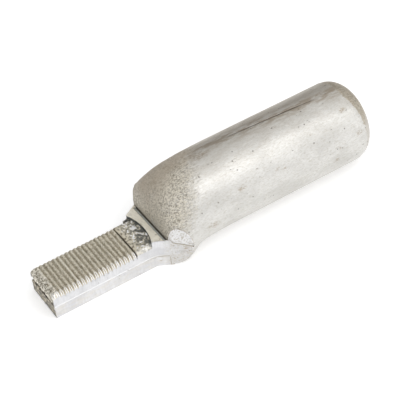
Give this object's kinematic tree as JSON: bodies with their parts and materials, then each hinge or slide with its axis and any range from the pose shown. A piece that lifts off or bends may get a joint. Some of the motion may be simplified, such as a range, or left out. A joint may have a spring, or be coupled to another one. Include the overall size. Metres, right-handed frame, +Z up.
{
  "type": "aluminium pin lug",
  "caption": "One-piece aluminium cable lug: a round tubular barrel with a blind bore, squeezed down behind a rounded shoulder to a flat ribbed pin for a screw clamp.",
  "frame": {"origin": "centre of the barrel's mouth, on the bore's axis", "axes": "+X along the bore out of the mouth, +Z up, away from the pin's flat underside, +Y across the pin"},
  "size_m": [0.0755, 0.018, 0.018],
  "materials": {
    "lug_aluminium": "drawn and pickled tube, satin, with pressed and sheared faces"
  },
  "bodies": {
    "root": {"pin_lug": "lug_aluminium"}
  },
  "joints": []
}
